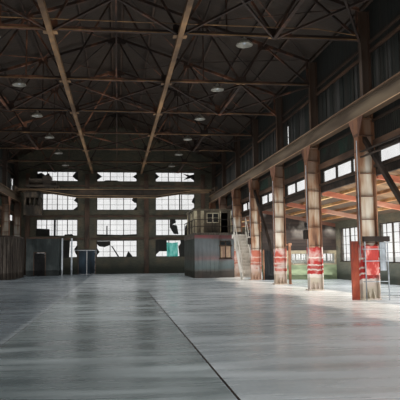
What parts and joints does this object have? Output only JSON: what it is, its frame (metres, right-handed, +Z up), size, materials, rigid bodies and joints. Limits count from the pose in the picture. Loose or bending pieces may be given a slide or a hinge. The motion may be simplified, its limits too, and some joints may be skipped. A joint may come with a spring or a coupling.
{
  "type": "warehouse crane hall, 1:2 scale model",
  "caption": "Long steel-framed crane hall with side aisles, roof trusses, brick gables with sash windows, a travelling overhead crane, booths and a stair; half-size model.",
  "frame": {"origin": "on the ground under the middle of the hall, at the slab's underside", "axes": "+X to the right across the hall seen from the near gable, +Y along the hall to the far gable with the door, +Z up"},
  "size_m": [15.84, 31, 7.505],
  "materials": {
    "concrete": "trowelled concrete worn to a dull gloss, with saw-cut joints",
    "brick": "old brick under dark olive-grey paint and soot",
    "boards": "dark vertical boards between upright strips",
    "glass": "dusty wired glass in steel sashes",
    "roof_deck": "dark brown roof boards",
    "roof_timber": "dark roof purlins",
    "truss_steel": "rusty brown paint on riveted angles",
    "strut_steel": "faded tan paint with rust",
    "column_paint": "flaking cream, red and rust-orange paint",
    "dark_steel": "dark oily steel",
    "runway_steel": "tan-brown paint, paler along the flange edges",
    "rail_steel": "running rail, worn bright on top",
    "aisle_steel": "faded orange-yellow paint",
    "green_boards": "grey-green boards over a green dado",
    "blue_paint": "dark blue paint",
    "crane_steel": "dark grease-stained paint",
    "cab_paint": "dark grey-green paint",
    "booth_paint": "faded grey-blue paint with dull red bands",
    "deck_boards": "worn brown-red boards",
    "cream_paint": "dirty cream paint",
    "stair_steel": "pale grey paint, chipped",
    "dark_door": "near-black door",
    "store_boards": "grey-brown vertical boards",
    "pale_paint": "pale blue-grey paint",
    "red_paint": "scuffed red paint",
    "lamp_metal": "dusty enamelled lamp shade"
  },
  "bodies": {
    "building": {"floor_slab": "concrete", "far_wall_left": "brick", "far_wall_right": "brick", "far_wall_over_door": "brick", "near_wall": "brick", "aisle_end_walls": "brick", "outer_walls": "brick", "upper_walls": "boards", "end_windows": "glass", "upper_windows": "glass", "aisle_windows": "glass", "nave_roof_right": "roof_deck", "nave_roof_left": "roof_deck", "aisle_roofs": "roof_deck", "purlins": "roof_timber", "roof_trusses": "truss_steel", "chord_struts": "strut_steel", "chord_bracing": "truss_steel", "columns": "column_paint", "runway_brackets": "column_paint", "column_bracing": "dark_steel", "runway_girders": "runway_steel", "runway_rails": "rail_steel", "aisle_beams": "dark_steel", "aisle_rafters": "aisle_steel", "aisle_purlins": "aisle_steel", "aisle_partition": "green_boards", "door_trims": "dark_steel", "right_booth": "booth_paint", "booth_deck": "deck_boards", "deck_railing": "dark_steel", "upper_cabin": "cream_paint", "stair_frame": "stair_steel", "stair_treads": "stair_steel", "left_booth_front": "booth_paint", "left_booth_lintel": "booth_paint", "left_booth_sides": "booth_paint", "left_booth_roof": "deck_boards", "store_walls": "store_boards", "store_top": "store_boards", "pale_posts": "pale_paint", "guard_post": "red_paint", "lamps": "lamp_metal"},
    "crane": {"crane_bridge": "crane_steel", "crane_trucks": "crane_steel", "crane_wheels": "rail_steel", "crane_cab": "cab_paint"},
    "trolley": {"trolley_bed": "crane_steel", "trolley_wheels": "rail_steel", "trolley_hoist": "crane_steel"},
    "far_leaf_left": {"far_door_left": "blue_paint"},
    "far_leaf_right": {"far_door_right": "blue_paint"},
    "booth_leaf": {"booth_door": "dark_door"}
  },
  "joints": [
    {"name": "crane_travel", "type": "slide", "parent": "building", "child": "crane", "axis": [0, 1, 0], "range_m": [-28.57, 0.17]},
    {"name": "trolley_travel", "type": "slide", "parent": "crane", "child": "trolley", "axis": [1, 0, 0], "range_m": [-0.42, 7.32]},
    {"name": "far_door_left_hinge", "type": "hinge", "parent": "building", "child": "far_leaf_left", "pos_m": [-1.839, 15.244, 0.65], "axis": [0, 0, -1], "range_deg": [0, 95]},
    {"name": "far_door_right_hinge", "type": "hinge", "parent": "building", "child": "far_leaf_right", "pos_m": [-1.061, 15.244, 0.65], "axis": [0, 0, 1], "range_deg": [0, 95]},
    {"name": "booth_door_hinge", "type": "hinge", "parent": "building", "child": "booth_leaf", "pos_m": [-3.694, 13.394, 0.6], "axis": [0, 0, -1], "range_deg": [0, 95]}
  ]
}
